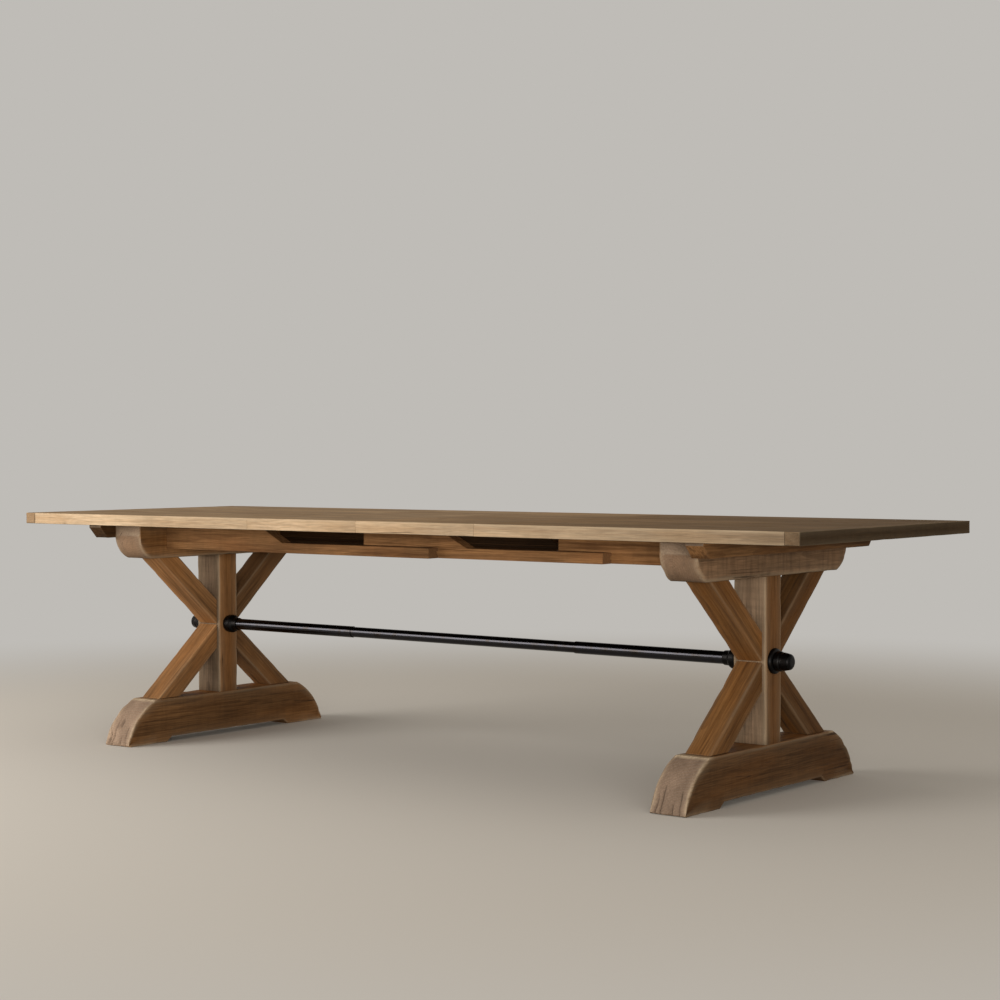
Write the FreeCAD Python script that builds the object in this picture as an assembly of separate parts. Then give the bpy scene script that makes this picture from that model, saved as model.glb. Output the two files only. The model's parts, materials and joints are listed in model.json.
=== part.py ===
import FreeCAD, Part
import math
import os

# Trestle dining table with an extending top. Millimetres, +Z up, +X along the table's length.
# The origin is on the floor, at the middle of the table. The table is drawn out, with both leaves in.

# Overall
table_length = 2984.0
table_width = 980.0
table_height = 762.0

# Top: boards along the length, a breadboard across each end, two loose leaves in the middle
top_thickness = 36.0
board_count = 5
leaf_length = 446.0
seam_gap = 0.5
leaf_rest_gap = 0.3
breadboard_width = 46.0
tongue_length = 14.0
tongue_thickness = 12.0
tongue_clearance = 0.2
batten_width = 80.0
batten_thickness = 18.0
ledge_width = 80.0
ledge_thickness = 18.0
strip_side_clearance = 12.0

# Trestles
trestle_spacing = 2154.0
foot_length = 928.0
foot_thickness = 114.0
foot_height = 144.0
foot_flat_length = 678.0
foot_toe_bulge = 23.0
foot_relief_length = 580.0
foot_relief_height = 16.0
foot_relief_slope = 22.0
post_thickness = 106.0
post_width = 86.0
tenon_thickness = 56.0
tenon_width = 44.0
tenon_length = 42.0
tenon_side_clearance = 0.2
blind_end_clearance = 1.0
brace_thickness = 84.0
brace_width = 63.0
brace_spread_at_bearer = 628.0
brace_spread_at_foot = 628.0
bearer_length = 815.0
bearer_thickness = 122.0
bearer_height = 112.0
bearer_end_inset = 50.0
bearer_end_rise = 70.0
cleat_length = 940.0
cleat_thickness = 58.0
cleat_height = 43.0
cleat_chamfer_length = 30.0
cleat_chamfer_height = 33.0

# Telescoping pipe stretcher
pipe_height = 376.0
inner_pipe_diameter = 33.4
inner_pipe_wall = 3.4
sleeve_diameter = 37.0
pipe_running_clearance = 0.3
fitting_clearance = 0.1
sleeve_end_gap = 4.0
inner_pipe_overlap = 130.0
collar_diameter = 60.0
collar_thickness = 32.0
collar_edge_round = 3.0
neck_diameter = 42.0
neck_length = 20.0
flange_diameter = 73.0
flange_thickness = 13.0
flange_edge_round = 3.0
cap_base_diameter = 58.0
cap_end_diameter = 46.0
cap_length = 47.0
cap_edge_round = 5.0
cap_socket_depth = 24.0

# Extension slides: three members side by side in each set
slide_height = 81.0
slide_tail_height = 32.0
slide_thickness = 45.0
slide_face_offset = 293.0
slide_clearance = 0.3
slide_ramp_length = 94.0
left_slide_shoulder = 41.0
right_slide_shoulder = 85.0
middle_slide_left_reach = 182.0
middle_slide_right_reach = 225.0
left_slide_overlap = 299.0
right_slide_overlap = 188.0
key_length = 150.0
key_height = 10.0
key_depth = 8.0
key_clearance = 0.4

# Screws that hold the slides up to the half tops
screw_count = 3
screw_shank_diameter = 6.0
screw_head_diameter = 12.0
screw_head_height = 4.0
screw_grip_in_board = 20.0
screw_counterbore_depth = 40.0
screw_clearance = 0.2
screw_end_distance = 60.0

# Derived levels and positions
half_length = table_length / 2
half_width = table_width / 2
top_underside = table_height - top_thickness
bearer_bottom = top_underside - bearer_height
trestle_x = trestle_spacing / 2
bearer_inner_x = trestle_x - bearer_thickness / 2
bearer_outer_x = trestle_x + bearer_thickness / 2
post_inner_x = trestle_x - post_thickness / 2
post_outer_x = trestle_x + post_thickness / 2
sleeve_bore_diameter = inner_pipe_diameter + 2 * pipe_running_clearance
sleeve_end_x = leaf_length + sleeve_end_gap / 2
cap_start_x = post_outer_x + flange_thickness
slide_bottom = top_underside - slide_height
tail_top = slide_bottom + slide_tail_height
key_middle_z = slide_bottom + slide_tail_height / 2
left_face_y = -slide_face_offset
middle_face_y = left_face_y + slide_thickness + slide_clearance
right_face_y = middle_face_y + slide_thickness + slide_clearance
left_ramp_foot_x = -leaf_length - left_slide_shoulder
right_slide_start_x = leaf_length + right_slide_shoulder
left_tail_end_x = -middle_slide_left_reach + left_slide_overlap
middle_tail_end_x = right_slide_start_x + right_slide_overlap
strip_half_length = -right_face_y - slide_thickness - strip_side_clearance

UP = FreeCAD.Vector(0, 0, 1)
ALONG = FreeCAD.Vector(1, 0, 0)
ACROSS = FreeCAD.Vector(0, 1, 0)
ORIGIN = FreeCAD.Vector(0, 0, 0)


def block(x0, x1, y0, y1, z0, z1):
    """Square-edged block between two corners."""
    return Part.makeBox(x1 - x0, y1 - y0, z1 - z0, FreeCAD.Vector(x0, y0, z0))


def mirror_end(shape):
    """The same piece at the other end of the table."""
    return shape.mirror(ORIGIN, ALONG)


def mirror_side(shape):
    """The same piece on the other long side of the table."""
    return shape.mirror(ORIGIN, ACROSS)


def rod(x0, x1, diameter, y=0.0, z=pipe_height):
    """Round bar along the table's length."""
    return Part.makeCylinder(diameter / 2, x1 - x0, FreeCAD.Vector(x0, y, z), ALONG)


def across_section(edges, x0, x1):
    """Solid with a closed outline drawn across the table, from x0 to x1."""
    face = Part.Face(Part.Wire(edges))
    face.translate(FreeCAD.Vector(x0, 0, 0))
    return face.extrude(FreeCAD.Vector(x1 - x0, 0, 0))


def straight_outline(points):
    """Closed outline of straight edges through points given as (y, z)."""
    corners = [FreeCAD.Vector(0, y, z) for y, z in points]
    return Part.makePolygon(corners + corners[:1]).Edges


def save(name, shape):
    """One STEP file for each piece."""
    shape.exportStep("parts/" + name + ".step")


def post_tenon(z0, z1, grow=0.0):
    """Tenon at a post's end, or with grow the mortise that takes it."""
    dx = tenon_thickness / 2 + grow
    dy = tenon_width / 2 + grow
    return block(trestle_x - dx, trestle_x + dx, -dy, dy, z0, z1)


def foot():
    """Sled foot with bowed toes, a flat top and a relief that leaves a sole at each end."""
    half = foot_length / 2
    flat = foot_flat_length / 2
    relief = foot_relief_length / 2
    chord_y = half - flat
    chord = math.hypot(chord_y, foot_height)
    bow_y = (half + flat) / 2 + foot_toe_bulge * foot_height / chord
    bow_z = foot_height / 2 + foot_toe_bulge * chord_y / chord

    def at(y, z):
        return FreeCAD.Vector(0, y, z)

    relief_top = relief - foot_relief_slope
    sole = [(half, 0), (relief, 0), (relief_top, foot_relief_height),
            (-relief_top, foot_relief_height), (-relief, 0), (-half, 0)]
    edges = [Part.LineSegment(at(*a), at(*b)).toShape() for a, b in zip(sole, sole[1:])]
    edges.append(Part.Arc(at(-half, 0), at(-bow_y, bow_z), at(-flat, foot_height)).toShape())
    edges.append(Part.LineSegment(at(-flat, foot_height), at(flat, foot_height)).toShape())
    edges.append(Part.Arc(at(flat, foot_height), at(bow_y, bow_z), at(half, 0)).toShape())
    solid = across_section(edges, trestle_x - foot_thickness / 2, trestle_x + foot_thickness / 2)
    mortise_bottom = foot_height - tenon_length - blind_end_clearance
    return solid.cut(post_tenon(mortise_bottom, foot_height, tenon_side_clearance))


def post():
    """Square post, tenoned into foot and bearer and bored for the pipe."""
    body = block(post_inner_x, post_outer_x, -post_width / 2, post_width / 2, foot_height, bearer_bottom)
    body = body.fuse(post_tenon(foot_height - tenon_length, foot_height))
    body = body.fuse(post_tenon(bearer_bottom, bearer_bottom + tenon_length))
    bore = rod(post_inner_x, post_outer_x, sleeve_diameter + 2 * fitting_clearance)
    return body.removeSplitter().cut(bore)


def brace(spread, far_z):
    """Diagonal from the post at pipe height to the bearer or the foot, on the back side."""
    start_y = post_width / 2
    end_y = spread / 2
    rise = far_z - pipe_height
    slope = math.atan2(abs(rise), end_y - start_y)
    width_along_y = brace_width / math.sin(slope)
    width_along_z = math.copysign(brace_width / math.cos(slope), rise)
    outline = [(start_y, pipe_height), (end_y, far_z), (end_y - width_along_y, far_z),
               (start_y, pipe_height + width_along_z)]
    return across_section(straight_outline(outline), trestle_x - brace_thickness / 2,
                          trestle_x + brace_thickness / 2)


def bearer():
    """Beam across the post under the top, with rounded lower ends."""
    half = bearer_length / 2
    low = half - bearer_end_inset
    turn_z = bearer_bottom + bearer_end_rise
    radius = (bearer_end_inset ** 2 + bearer_end_rise ** 2) / (2 * bearer_end_inset)
    sweep = math.asin(bearer_end_rise / radius) / 2
    mid_y = half - radius + radius * math.cos(sweep)
    mid_z = turn_z - radius * math.sin(sweep)

    def at(y, z):
        return FreeCAD.Vector(0, y, z)

    corners = [(half, turn_z), (half, top_underside), (-half, top_underside), (-half, turn_z)]
    edges = [Part.LineSegment(at(*a), at(*b)).toShape() for a, b in zip(corners, corners[1:])]
    edges.append(Part.Arc(at(-half, turn_z), at(-mid_y, mid_z), at(-low, bearer_bottom)).toShape())
    edges.append(Part.LineSegment(at(-low, bearer_bottom), at(low, bearer_bottom)).toShape())
    edges.append(Part.Arc(at(low, bearer_bottom), at(mid_y, mid_z), at(half, turn_z)).toShape())
    solid = across_section(edges, bearer_inner_x, bearer_outer_x)
    mortise_top = bearer_bottom + tenon_length + blind_end_clearance
    return solid.cut(post_tenon(bearer_bottom, mortise_top, tenon_side_clearance))


def cleat():
    """Thin rail with chamfered ends against the bearer's outer side."""
    half = cleat_length / 2
    low = top_underside - cleat_height
    chamfer_z = low + cleat_chamfer_height
    inner = half - cleat_chamfer_length
    outline = [(inner, low), (half, chamfer_z), (half, top_underside),
               (-half, top_underside), (-half, chamfer_z), (-inner, low)]
    return across_section(straight_outline(outline), bearer_outer_x, bearer_outer_x + cleat_thickness)


def pipe_sleeve():
    """Outer pipe, from inside the end cap through the post to its open end."""
    far_end = cap_start_x + cap_socket_depth
    tube = rod(sleeve_end_x, far_end, sleeve_diameter)
    return tube.cut(rod(sleeve_end_x, far_end, sleeve_bore_diameter))


def inner_pipe():
    """Inner pipe that bridges the two sleeves and runs in both."""
    end = sleeve_end_x + inner_pipe_overlap
    tube = rod(-end, end, inner_pipe_diameter)
    return tube.cut(rod(-end, end, inner_pipe_diameter - 2 * inner_pipe_wall))


def pipe_collar():
    """Drum and neck round the sleeve against the post's inner face."""
    ring = rod(post_inner_x - collar_thickness, post_inner_x, collar_diameter)
    rim = [e for e in ring.Edges if e.Closed and e.CenterOfMass.x < post_inner_x - collar_thickness / 2]
    ring = ring.makeFillet(collar_edge_round, rim)
    neck = rod(post_inner_x - collar_thickness - neck_length, post_inner_x, neck_diameter)
    hole = rod(post_inner_x - collar_thickness - neck_length, post_inner_x,
               sleeve_diameter + 2 * fitting_clearance)
    return ring.fuse(neck).removeSplitter().cut(hole)


def pipe_flange():
    """Large flange round the sleeve against the post's outer face."""
    disc = rod(post_outer_x, cap_start_x, flange_diameter)
    rim = [e for e in disc.Edges if e.Closed and e.CenterOfMass.x > cap_start_x - flange_thickness / 2]
    disc = disc.makeFillet(flange_edge_round, rim)
    return disc.cut(rod(post_outer_x, cap_start_x, sleeve_diameter + 2 * fitting_clearance))


def pipe_cap():
    """Tapered cap with a domed edge, screwed on the end of the sleeve."""
    cone = Part.makeCone(cap_base_diameter / 2, cap_end_diameter / 2, cap_length,
                         FreeCAD.Vector(cap_start_x, 0, pipe_height), ALONG)
    rim = [e for e in cone.Edges if e.Closed and e.CenterOfMass.x > cap_start_x + cap_length / 2]
    cone = cone.makeFillet(cap_edge_round, rim)
    socket = rod(cap_start_x, cap_start_x + cap_socket_depth + blind_end_clearance,
                 sleeve_diameter + 2 * fitting_clearance)
    return cone.cut(socket)


def screw_places(x0, x1, y):
    """Evenly spaced screws along a slide member, as (x, y)."""
    first = x0 + screw_end_distance
    last = x1 - screw_end_distance
    return [(first + (last - first) * i / (screw_count - 1), y) for i in range(screw_count)]


def upright(x, y, z0, z1, diameter):
    """Round upright bar."""
    return Part.makeCylinder(diameter / 2, z1 - z0, FreeCAD.Vector(x, y, z0), UP)


def screw(x, y):
    """Screw from the counterbore in a slide up into the board above it."""
    seat = slide_bottom + screw_counterbore_depth
    head = upright(x, y, seat - screw_head_height, seat, screw_head_diameter)
    shank = upright(x, y, seat, top_underside + screw_grip_in_board, screw_shank_diameter)
    return head.fuse(shank)


def screw_hole(x, y):
    """Counterbore, clearance hole and pilot hole of one screw."""
    seat = slide_bottom + screw_counterbore_depth
    wide = upright(x, y, slide_bottom, seat, screw_head_diameter + 2 * screw_clearance)
    pilot_top = top_underside + screw_grip_in_board + screw_clearance
    narrow = upright(x, y, seat, pilot_top, screw_shank_diameter + 2 * screw_clearance)
    return wide.fuse(narrow)


def slide_key(x0, face_y):
    """Key that stands forward from a member's face, near its left end, into the member in front."""
    z0 = key_middle_z - key_height / 2
    front_y = face_y - slide_clearance - key_depth
    return block(x0, x0 + key_length, front_y, face_y, z0, z0 + key_height)


def slide_groove(x0, x1, face_y):
    """Groove along the back of the member whose face is at face_y, for the key behind it."""
    z0 = key_middle_z - key_height / 2 - key_clearance
    z1 = key_middle_z + key_height / 2 + key_clearance
    back_y = face_y + slide_thickness
    return block(x0, x1, back_y - key_depth - key_clearance, back_y, z0, z1)


def member(outline, face_y):
    """Slide member with an outline of (x, z), its front face at face_y."""
    corners = [FreeCAD.Vector(x, face_y, z) for x, z in outline]
    face = Part.Face(Part.makePolygon(corners + corners[:1]))
    return face.extrude(FreeCAD.Vector(0, slide_thickness, 0))


def left_slide():
    """Front member, on the left half: full height to a ramp, then a low tail; grooved at the back."""
    ramp_top_x = left_ramp_foot_x - slide_ramp_length
    outline = [(-bearer_inner_x, slide_bottom), (left_tail_end_x, slide_bottom), (left_tail_end_x, tail_top),
               (left_ramp_foot_x, tail_top), (ramp_top_x, top_underside), (-bearer_inner_x, top_underside)]
    solid = member(outline, left_face_y)
    solid = solid.cut(slide_groove(-bearer_inner_x, left_tail_end_x, left_face_y))
    for place in left_screw_places:
        solid = solid.cut(screw_hole(*place))
    return solid


def middle_slide():
    """Floating member: a block under both leaves, a ramp, and a low tail in front of the right member."""
    top = top_underside - slide_clearance
    left_x = -middle_slide_left_reach
    ramp_top_x = middle_slide_right_reach - slide_ramp_length
    outline = [(left_x, slide_bottom), (middle_tail_end_x, slide_bottom), (middle_tail_end_x, tail_top),
               (middle_slide_right_reach, tail_top), (ramp_top_x, top), (left_x, top)]
    solid = member(outline, middle_face_y)
    solid = solid.cut(slide_groove(left_x, middle_tail_end_x, middle_face_y))
    return solid.fuse(slide_key(left_x, middle_face_y)).removeSplitter()


def right_slide():
    """Back member, on the right half, with a key in the middle member's groove."""
    solid = block(right_slide_start_x, bearer_inner_x, right_face_y, right_face_y + slide_thickness,
                  slide_bottom, top_underside)
    solid = solid.fuse(slide_key(right_slide_start_x, right_face_y)).removeSplitter()
    for place in right_screw_places:
        solid = solid.cut(screw_hole(*place))
    return solid


def board_edges(index):
    """Front and back edge of a board, counted from the front."""
    width = table_width / board_count
    front = -half_width + index * width
    return front, front + width


def half_top_board(index, holes):
    """Board of the right half top, with a tongue into the breadboard."""
    front, back = board_edges(index)
    inner = leaf_length + seam_gap / 2
    outer = half_length - breadboard_width
    solid = block(inner, outer, front, back, top_underside, table_height)
    z0 = top_underside + (top_thickness - tongue_thickness) / 2
    solid = solid.fuse(block(outer, outer + tongue_length, front, back, z0, z0 + tongue_thickness))
    solid = solid.removeSplitter()
    for hole in holes:
        solid = solid.cut(hole)
    return solid


def breadboard():
    """Board across the end of a half top, grooved for the tongues."""
    inner = half_length - breadboard_width
    solid = block(inner, half_length, -half_width, half_width, top_underside, table_height)
    z0 = top_underside + (top_thickness - tongue_thickness) / 2 - tongue_clearance
    z1 = z0 + tongue_thickness + 2 * tongue_clearance
    depth = tongue_length + blind_end_clearance
    return solid.cut(block(inner, inner + depth, -half_width, half_width, z0, z1))


def leaf_board(index):
    """Board of the right leaf, a shade thinner below so that it drops in freely."""
    front, back = board_edges(index)
    return block(seam_gap / 2, leaf_length - seam_gap / 2, front, back,
                 top_underside + leaf_rest_gap, table_height)


def leaf_batten():
    """Stiffener glued across the underside of a leaf, between the two slide sets."""
    middle = leaf_length / 2
    top = top_underside + leaf_rest_gap
    return block(middle - batten_width / 2, middle + batten_width / 2, -strip_half_length, strip_half_length,
                 top - batten_thickness, top)


def leaf_ledge():
    """Strip under a half top's inner edge that carries the edge of the leaf."""
    return block(leaf_length - ledge_width / 2, leaf_length + ledge_width / 2, -strip_half_length,
                 strip_half_length, top_underside - ledge_thickness, top_underside)


os.makedirs("parts", exist_ok=True)

# Screw places on the front set of slides, then holes on both long sides
left_screw_y = left_face_y + slide_thickness / 2
right_screw_y = right_face_y + slide_thickness / 2
left_screw_places = screw_places(-bearer_inner_x, left_ramp_foot_x - slide_ramp_length, left_screw_y)
right_screw_places = screw_places(right_slide_start_x, bearer_inner_x, right_screw_y)


def both_sides(places):
    """Places on the front set and their mirror places on the back set."""
    return places + [(x, -y) for x, y in places]


# Trestles: the right one is drawn in place and mirrored to the left
for side in ("right", "left"):
    place = mirror_end if side == "left" else (lambda shape: shape)
    save(side + "_foot", place(foot()))
    save(side + "_post", place(post()))
    upper = brace(brace_spread_at_bearer, bearer_bottom)
    lower = brace(brace_spread_at_foot, foot_height)
    save(side + "_upper_brace_back", place(upper))
    save(side + "_upper_brace_front", place(mirror_side(upper)))
    save(side + "_lower_brace_back", place(lower))
    save(side + "_lower_brace_front", place(mirror_side(lower)))
    save(side + "_bearer", place(bearer()))
    save(side + "_cleat", place(cleat()))
    save(side + "_pipe_sleeve", place(pipe_sleeve()))
    save(side + "_pipe_collar", place(pipe_collar()))
    save(side + "_pipe_flange", place(pipe_flange()))
    save(side + "_pipe_cap", place(pipe_cap()))
    save(side + "_breadboard", place(breadboard()))
    save(side + "_leaf_ledge", place(leaf_ledge()))
    save(side + "_leaf_batten", place(leaf_batten()))

save("inner_pipe", inner_pipe())

# Slides
for name, make in (("left_slide", left_slide), ("middle_slide", middle_slide), ("right_slide", right_slide)):
    save(name + "_front", make())
    save(name + "_back", mirror_side(make()))

# Screws, one group on each half
for side, places in (("left", left_screw_places), ("right", right_screw_places)):
    save(side + "_slide_screws", Part.makeCompound([screw(x, y) for x, y in both_sides(places)]))

# Boards of the half tops and of the leaves, numbered from the front
right_holes = [screw_hole(x, y) for x, y in both_sides(right_screw_places)]
left_holes = [screw_hole(-x, y) for x, y in both_sides(left_screw_places)]
for index in range(board_count):
    number = str(index + 1)
    save("right_top_board_" + number, half_top_board(index, right_holes))
    save("left_top_board_" + number, mirror_end(half_top_board(index, left_holes)))
    save("right_leaf_board_" + number, leaf_board(index))
    save("left_leaf_board_" + number, mirror_end(leaf_board(index)))
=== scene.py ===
import bpy
import bmesh
import json
import math
import random
from mathutils import Matrix, Vector, noise

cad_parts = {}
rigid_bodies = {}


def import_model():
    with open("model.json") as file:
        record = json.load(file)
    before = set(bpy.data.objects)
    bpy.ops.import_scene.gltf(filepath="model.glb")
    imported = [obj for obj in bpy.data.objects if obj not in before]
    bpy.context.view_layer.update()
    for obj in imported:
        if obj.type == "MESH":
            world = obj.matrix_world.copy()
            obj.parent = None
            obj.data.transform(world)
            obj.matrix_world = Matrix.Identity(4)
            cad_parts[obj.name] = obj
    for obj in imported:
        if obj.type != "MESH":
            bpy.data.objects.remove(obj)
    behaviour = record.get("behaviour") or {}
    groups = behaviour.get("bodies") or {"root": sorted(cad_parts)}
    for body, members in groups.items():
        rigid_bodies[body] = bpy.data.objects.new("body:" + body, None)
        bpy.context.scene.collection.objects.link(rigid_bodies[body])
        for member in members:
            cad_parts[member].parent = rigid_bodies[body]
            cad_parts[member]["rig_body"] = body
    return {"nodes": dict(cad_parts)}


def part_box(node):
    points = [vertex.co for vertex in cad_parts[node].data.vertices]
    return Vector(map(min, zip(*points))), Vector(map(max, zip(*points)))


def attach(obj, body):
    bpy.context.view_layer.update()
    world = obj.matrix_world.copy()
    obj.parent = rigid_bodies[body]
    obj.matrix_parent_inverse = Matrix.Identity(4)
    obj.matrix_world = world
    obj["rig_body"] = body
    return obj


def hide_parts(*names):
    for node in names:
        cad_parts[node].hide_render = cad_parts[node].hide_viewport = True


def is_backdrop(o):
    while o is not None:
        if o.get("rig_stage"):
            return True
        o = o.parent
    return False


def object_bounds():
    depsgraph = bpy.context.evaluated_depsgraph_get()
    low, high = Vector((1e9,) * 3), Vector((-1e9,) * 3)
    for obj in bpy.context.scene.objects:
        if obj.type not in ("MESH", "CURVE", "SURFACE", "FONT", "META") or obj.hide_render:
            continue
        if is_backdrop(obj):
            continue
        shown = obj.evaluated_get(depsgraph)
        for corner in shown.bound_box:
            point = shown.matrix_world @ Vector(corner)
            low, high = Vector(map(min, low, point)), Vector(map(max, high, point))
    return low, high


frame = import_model()
cad_low, cad_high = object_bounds()

# Sled feet
# Each trestle stands on one thick old pine timber, sawn from a beam and planed by hand. The toes are bowed
# cuts across the end grain, dry and split near the floor, and a shallow relief leaves a sole at each end.


def linear(hex_colour):
    """sRGB hex colour as linear red, green, blue and full alpha."""
    parts = [int(hex_colour[i:i + 2], 16) / 255 for i in (1, 3, 5)]
    return [c / 12.92 if c <= 0.04045 else ((c + 0.055) / 1.055) ** 2.4 for c in parts] + [1.0]


def add_node(tree, kind, properties, inputs):
    """Adds a shader node, sets its properties, and sets or links each of its inputs."""
    node = tree.nodes.new("ShaderNode" + kind)
    for key, value in properties.items():
        setattr(node, key, value)
    for key, value in inputs.items():
        if isinstance(value, bpy.types.NodeSocket):
            tree.links.new(value, node.inputs[key])
        else:
            node.inputs[key].default_value = value
    return node


def old_pine(name, pale, mid, dark, stain, aged, worn, cut_end, contrast, roughness, ring_mm, saw_mm):
    """Old pine, planed and waxed: growth rings round a pith line, streaks, fibres, knots and drying checks.

    Of the mesh's attributes, grain gives metres along the timber and across it from the pith. Another gives
    first how light a face is drawn, which is painted light and shade for how the lamps fall on that face,
    then how far air and wax have turned it to the aged colour, and how rough sawn it is. Worn gives how far
    an arris is rubbed pale, and cut_end where end grain shows."""
    material = bpy.data.materials.new(name)
    material.use_nodes = True
    tree = material.node_tree
    shader = tree.nodes["Principled BSDF"]
    smooth = {"interpolation_type": "SMOOTHSTEP"}
    rgba = {"data_type": "RGBA"}
    times = {"operation": "MULTIPLY"}
    metre = 1000.0
    grain = add_node(tree, "Attribute", {"attribute_name": "grain"}, {}).outputs["Vector"]
    light_and_finish = add_node(tree, "Attribute", {"attribute_name": "light_and_finish"}, {}).outputs["Vector"]
    light_and_finish = add_node(tree, "SeparateXYZ", {}, {0: light_and_finish})
    arris = add_node(tree, "Attribute", {"attribute_name": "worn"}, {}).outputs["Fac"]
    cut = add_node(tree, "Attribute", {"attribute_name": "cut_end"}, {}).outputs["Fac"]

    # Length and width of each pattern in millimetres, then its detail and roughness. Patches are where the
    # wax went in unevenly, and clouds where years of hands and polish have darkened it. Real fibres and pores
    # are far under a millimetre and would not show, so they are drawn 2 mm and 4 mm wide
    patterns = {"streak": (250, 9, 3.0, 0.6), "fibre": (50, 2, 2.0, 0.5), "patch": (312.5, 83, 3.0, 0.5),
                "cloud": (500, 110, 4.0, 0.5), "check": (1400, 24, 1.0, 0.5), "saw": (saw_mm, 110, 2.0, 0.5),
                "pore": (7, 4, 3.0, 0.5)}
    drawn = {}
    for key, (long_mm, wide_mm, detail, coarse) in patterns.items():
        size = (metre / long_mm, metre / wide_mm, metre / wide_mm)
        step = add_node(tree, "VectorMath", times, {0: grain, 1: size})
        drawn[key] = add_node(tree, "TexNoise", {},
                              {"Vector": step.outputs[0], "Scale": 1.0, "Detail": detail,
                               "Roughness": coarse}).outputs["Fac"]

    # The trunk was never straight, so the pith line wanders by up to 30 mm over about 800 mm of timber
    size = (metre / 800, metre / 200, metre / 200)
    step = add_node(tree, "VectorMath", times, {0: grain, 1: size})
    wander = add_node(tree, "TexNoise", {}, {"Vector": step.outputs[0], "Scale": 1.0, "Detail": 2.0})
    centred = add_node(tree, "VectorMath", {"operation": "SUBTRACT"},
                       {0: wander.outputs["Color"], 1: (0.5, 0.5, 0.5)})
    bent = add_node(tree, "VectorMath", {"operation": "MULTIPLY_ADD"},
                    {0: centred.outputs[0], 1: (0.0, 0.06, 0.06), 2: grain})
    place = add_node(tree, "SeparateXYZ", {}, {0: bent.outputs[0]})

    # Knots stand out from the pith as branches did, about two in each metre of timber and 40 mm long: there
    # are 2.4 places for one in a metre and two round the timber, and most of those are left clear
    places_each_metre = 2.4
    places_each_radian = 0.34
    left_clear = 0.62
    turn = add_node(tree, "Math", {"operation": "ARCTAN2"}, {0: place.outputs["Z"], 1: place.outputs["Y"]})
    step = add_node(tree, "CombineXYZ", {}, {"X": place.outputs["X"], "Y": turn.outputs[0]})
    step = add_node(tree, "VectorMath", times,
                    {0: step.outputs[0], 1: (places_each_metre, places_each_radian, 1.0)})
    knots = add_node(tree, "TexVoronoi", {"voronoi_dimensions": "2D"},
                     {"Vector": step.outputs[0], "Scale": 1.0})
    away = knots.outputs["Distance"]
    live = add_node(tree, "SeparateXYZ", {}, {0: knots.outputs["Color"]}).outputs["X"]
    live = add_node(tree, "Math", {"operation": "GREATER_THAN"}, {0: live, 1: left_clear}).outputs[0]
    knot = add_node(tree, "MapRange", smooth, {0: away, 1: 0.008, 2: 0.048, 3: 0.85, 4: 0.0})
    knot = add_node(tree, "Math", times, {0: knot.outputs[0], 1: live}).outputs[0]
    swirl = add_node(tree, "MapRange", smooth, {0: away, 1: 0.0, 2: 0.16, 3: 0.014, 4: 0.0})
    swirl = add_node(tree, "Math", times, {0: swirl.outputs[0], 1: live})

    # Growth rings, with the late wood of each ring darker, bent round the knots
    across = add_node(tree, "CombineXYZ", {}, {"Y": place.outputs["Y"], "Z": place.outputs["Z"]})
    radius = add_node(tree, "VectorMath", {"operation": "LENGTH"}, {0: across.outputs[0]})
    reach = add_node(tree, "Math", {"operation": "ADD"}, {0: radius.outputs["Value"], 1: swirl.outputs[0]})
    reach = add_node(tree, "CombineXYZ", {}, {"X": reach.outputs[0]})
    rings = add_node(tree, "TexWave", {"wave_profile": "SAW"},
                     {"Vector": reach.outputs[0], "Scale": 2 * math.pi * metre / (20 * ring_mm),
                      "Distortion": 0.0}).outputs["Fac"]

    # Drying checks: hairlines along the grain where the timber dried fast, and from the pith on cut ends
    spoke = add_node(tree, "TexNoise", {"noise_dimensions": "1D"},
                     {"W": turn.outputs[0], "Scale": 7.0, "Detail": 1.0}).outputs["Fac"]
    field = add_node(tree, "Mix", {}, {0: cut, 2: drawn["check"], 3: spoke}).outputs[0]
    field = add_node(tree, "Math", {"operation": "SUBTRACT"}, {0: field, 1: 0.5})
    field = add_node(tree, "Math", {"operation": "ABSOLUTE"}, {0: field.outputs[0]})
    hairline = add_node(tree, "MapRange", smooth, {0: field.outputs[0], 1: 0.002, 2: 0.010, 3: 1.0, 4: 0.0})
    dry = add_node(tree, "MapRange", smooth, {0: drawn["patch"], 1: 0.54, 2: 0.66, 3: 0.0, 4: 0.75})
    check = add_node(tree, "Math", times, {0: hairline.outputs[0], 1: dry.outputs[0]}).outputs[0]

    # Marks of the saw across the timber, left on the faces that were not planed
    saw = add_node(tree, "MapRange", smooth, {0: drawn["saw"], 1: 0.42, 2: 0.66, 3: 0.0, 4: 1.0}).outputs[0]
    saw = add_node(tree, "Math", times, {0: saw, 1: light_and_finish.outputs["Z"]}).outputs[0]

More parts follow.
